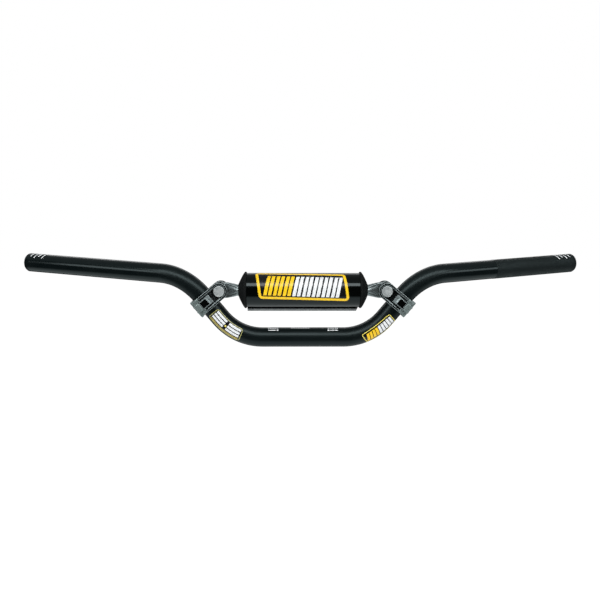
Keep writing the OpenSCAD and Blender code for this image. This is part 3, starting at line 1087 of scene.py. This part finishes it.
def build_cover():
    """One piece of coated cloth wrapped tight round the foam, with its closing lip hanging at the back."""
    line = cover_section()
    columns = 127
    reach = [0.0]
    for a, b in zip(line, line[1:]):
        reach.append(reach[-1] + math.dist(a, b))
    lip_from = len(line) - 9
    verts = []
    for i in range(columns):
        x = -COVER_HALF + 2 * COVER_HALF * i / (columns - 1)
        for k, (y, z) in enumerate(line):
            place_x = x
            p = Vector((x, y, z))
            if k < lip_from:
                # Pulls radiate from the closure and fade up the sides
                near = math.exp(-((reach[k] / (7 * MM)) ** 2)) + math.exp(
                    -(((reach[lip_from] - reach[k]) / (7 * MM)) ** 2)
                )
                pull = noise.noise(Vector((x * 260, 0, 3.1))) * 0.28 * MM * near
                soft = noise.noise(Vector((x * 45, y * 60, z * 60))) * 0.05 * MM
                shrink = 1 + min(0.0, pull - 0.02 * MM) / COVER_R + min(0, soft) / COVER_R
                p.y, p.z = y * shrink, z * shrink
            else:
                drop = (k - lip_from) / 8
                corner = max(0.0, abs(x) - (COVER_HALF - 1 * MM - 2.5 * MM * drop**2))
                place_x = x - math.copysign(corner, x)
                p.y += noise.noise(Vector((x * 120, drop, 0))) * 0.05 * MM
            verts.append(Vector((place_x, p.y, CROSS_Z + p.z)))
    faces, corners = ring_skin(range(columns), len(line), closed_ring=False)
    uvs = [
        (-COVER_HALF + 2 * COVER_HALF * i / (columns - 1), reach[k])
        for c in corners
        for i, k in c
    ]
    mesh = mesh_of("pad_cover_cloth", verts, faces, [VINYL], uvs=uvs)
    return cloth(mesh, "pad", "pad_cover"), reach[-1]


def cloth(mesh, body, node):
    """A piece of coated cloth with its thickness, and sharp cut edges where that turns over them."""
    made = piece(mesh.name, mesh, body, "cover_vinyl", node, sharp=60)
    uses = {}
    for face in mesh.polygons:
        for key in face.edge_keys:
            uses[key] = uses.get(key, 0) + 1
    for edge in mesh.edges:
        if uses.get(edge.key) == 1:
            edge.use_edge_sharp = True
    thick = made.modifiers.new("cloth thickness", "SOLIDIFY")
    thick.thickness = COVER_T - 0.04 * MM
    thick.offset = 0
    return made


def lip_end(side, drop):
    """Where a closing lip ends at a share of its drop: square on the left, cut off on the right."""
    if side < 0:
        return -COVER_HALF + 0.1 * MM
    return COVER_HALF - 1.2 * MM - 2.2 * MM * max(0.0, drop - 0.3)


def build_flap():
    """The front lip of the closure: it hangs from the cover's root, tucks under and peels forward."""
    columns, rows, highlight_row = 125, 12, 5
    top = -COVER_R - 0.05 * MM
    verts = []
    for i in range(columns):
        share = i / (columns - 1)
        for k in range(rows):
            drop = k / (rows - 1)
            x = lip_end(-1, drop) * (1 - share) + lip_end(1, drop) * share
            wave = noise.noise(Vector((x * 150, drop * 2, 7))) * 0.06 * MM * drop
            tuck = 1.0 * MM * max(0.0, (drop - 0.35) / 0.65) ** 2
            z = CROSS_Z + top + (LIP_LOW - top) * drop
            verts.append(Vector((x, tuck - LIP_Y + wave, z)))
    faces, corners = ring_skin(range(columns), rows, closed_ring=False)
    uvs = [
        (-COVER_HALF + 2 * COVER_HALF * i / (columns - 1), k * 0.4 * MM)
        for c in corners
        for i, k in c
    ]
    # Painted highlight: the lower rows take the lighter material where the flap's edge would catch light
    kinds = [1 if c[0][1] >= highlight_row else 0 for c in corners]
    mesh = mesh_of("pad_cover_flap", verts, faces, [VINYL, FLAP_HIGHLIGHT], kinds, uvs)
    return cloth(mesh, "flap", "pad_flap")


def build_strip(name, node, body, front, material):
    """A strip of closure tape: a flat tape with rounded edges and cut lower corners."""
    columns, thick = 119, 0.8 * MM
    half = 59 * MM
    low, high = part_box(node)[0].z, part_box(node)[1].z
    ring_half = thick / 2
    verts = []
    for i in range(columns):
        share = -1 + 2 * i / (columns - 1)
        loop = []
        for z, edge in ((low, 1), (high, -1)):
            for a in (-80, -30, 30, 80):
                angle = math.radians(a)
                y = ring_half * math.sin(angle) * edge
                loop.append((y, z + ring_half * (1 - math.cos(angle)) * edge * 0.8))
        for y, z in loop:
            cut = max(0.0, (low + 1.5 * MM) - z) * 0.95
            x = share * (half - cut)
            fuzz = noise.noise(Vector((x * 900, y * 900, z * 900))) * 0.04 * MM
            verts.append(Vector((x, front + thick / 2 + y + math.copysign(min(0, fuzz), y), z)))
    around = 8
    faces, corners = ring_skin(range(columns), around)
    faces.append(tuple(range(around - 1, -1, -1)))
    faces.append(tuple(range((columns - 1) * around, columns * around)))
    mesh = facing_out(mesh_of(name, verts, faces, [material]))
    piece(name, mesh, body, "closure_tape", node)


COVER, COVER_LENGTH = build_cover()
FLAP = build_flap()
build_strip("hook_strip", "pad_hook_strip", "pad", 0.175 * MM, HOOKS)
build_strip("loop_strip", "pad_loop_strip", "flap", -0.975 * MM, LOOPS)


# Generic graphics -------------------------------------------------------------------


def pad_place(u, v, lift):
    """u runs along the crossbar and v round the cover, from the front towards the top."""
    angle = v / COVER_OUT_R
    r = COVER_OUT_R + lift
    return Vector((u, -r * math.cos(angle), CROSS_Z + r * math.sin(angle)))


def build_pad_print():
    """A leaning border with slanted bars in it, yellow on the left and white on the right."""
    art = Print(pad_place)
    outer = ((-49.0, -7.4), (51.5, -10.6), (46.5, 24.0), (-54.0, 28.0))
    art.fill(outer, 3.0, INK_BLACK)
    art.frame(outer, 4.4, 2.9, INK_YELLOW)
    bars = 8
    left, right = -45.5, 46.0
    pitch = (right - left - 6) / bars
    for i in range(bars):
        material = INK_YELLOW if i < 3 else INK_WHITE
        start = left + 1 + i * pitch
        low = -3.4 - 3.0 * i / bars
        high = 20.5 - 3.0 * i / bars
        wide = pitch - 1.8
        art.quad(*slanted(start, start + wide * 0.42, low, high, 5.0), material, 0.05 * MM)
        art.quad(
            *slanted(start + wide * 0.58, start + wide, low, high, 5.0), material, 0.05 * MM
        )
    return art.build("pad_graphic", "pad", "decal_film")


def build_decals():
    """The two stickers on the uprights: striped blocks with a border."""
    middle = UPRIGHT_S - 9.5 * MM
    half_u, half_v = 20.3, 8.1
    left = Print(tube_place(-1, middle, math.radians(-6), 0))
    edge = ((-half_u, -half_v), (half_u, -half_v), (half_u, half_v), (-half_u, half_v))
    left.fill(edge, 3.6, INK_BLACK, 0.19 * MM)
    left.frame(edge, 3.6, 0.8, INK_OLIVE, 0.21 * MM)
    left.quad((-18, -7.2), (18, -7.2), (18, -4.6), (-18, -4.6), INK_GOLD, 0.21 * MM)
    for start in (-18.2, 1.8):
        for low in (-3.4, 0.2, 3.8):
            left.quad(
                (start, low), (start + 16.2, low), (start + 16.2, low + 2.6), (start, low + 2.6),
                INK_WHITE, 0.22 * MM,
            )
    left.quad((-1.1, -0.6), (0.9, -0.6), (0.9, 1.4), (-1.1, 1.4), INK_PALE, 0.22 * MM)
    left.build("left_sticker", "frame", "decal_film", "left_decal")

    right = Print(tube_place(1, middle - 3.5 * MM, math.radians(-21), 2.0 * MM))
    edge = ((-half_u + 3.5, -7.4), (half_u - 2, -7.4), (half_u, 7.4), (-half_u, 7.4))
    right.fill(edge, 1.5, INK_BLACK, 0.19 * MM)
    right.frame(edge, 1.5, 0.85, INK_PALE, 0.21 * MM)
    for i in range(9):
        material = INK_YELLOW if i < 4 else INK_WHITE
        start = -16.2 + i * 3.75
        right.quad(
            *slanted(start, start + 2.9, -4.9, 4.9, 1.6), material, 0.22 * MM
        )
    right.build("right_sticker", "frame", "decal_film", "right_decal")


def skyward(s):
    """Angle round the bar of the line along its top at distance s."""
    point, along, front, up = axis_at(s)
    return math.atan2(up.z, front.z)


def build_marks():
    """Printed scales: slanted strokes for cutting the ends to length, and centring lines between."""

    def on_grip(u, v, lift):
        return on_bar(u, skyward(u) - v / TUBE_R, TUBE_R + KNURL_H + lift)

    strokes = Print(on_grip)
    tip = BAR_HALF / MM
    for side in (-1, 1):
        for i in range(4):
            s = side * (tip - 7.5 - 5.6 * i)
            a, b = s - 0.7, s + 0.7
            low = 10.0 if i % 2 else 8.0
            strokes.quad(
                (a, low), (b, low), (b - side * 3.0, -1), (a - side * 3.0, -1), INK_WHITE, 0.02 * MM
            )
    strokes.build("bar_end_scale", "frame", "decal_film")

    scale = Print(lambda u, v, lift: on_bar(u, v / TUBE_R, TUBE_R + lift))

    def line(start, end, low, high):
        scale.quad((start, low), (end, low), (end, high), (start, high), INK_WHITE)

    for side in (-1, 1):
        line(*sorted((side * 31.0, side * 39.5)), 10.0, 11.3)
        line(*sorted((side * 27.9, side * 29.8)), 9.6, 11.7)
        for i in range(6):
            line(side * (29 + 2 * i) - 0.65, side * (29 + 2 * i) + 0.65, 13.4, 15.6)
    for i in range(8):
        line(-13.5 + 2.7 * i, -11.9 + 2.7 * i, 14.2, 16.2)
    scale.build("centre_scale", "frame", "decal_film")


build_pad_print()
build_decals()
build_marks()
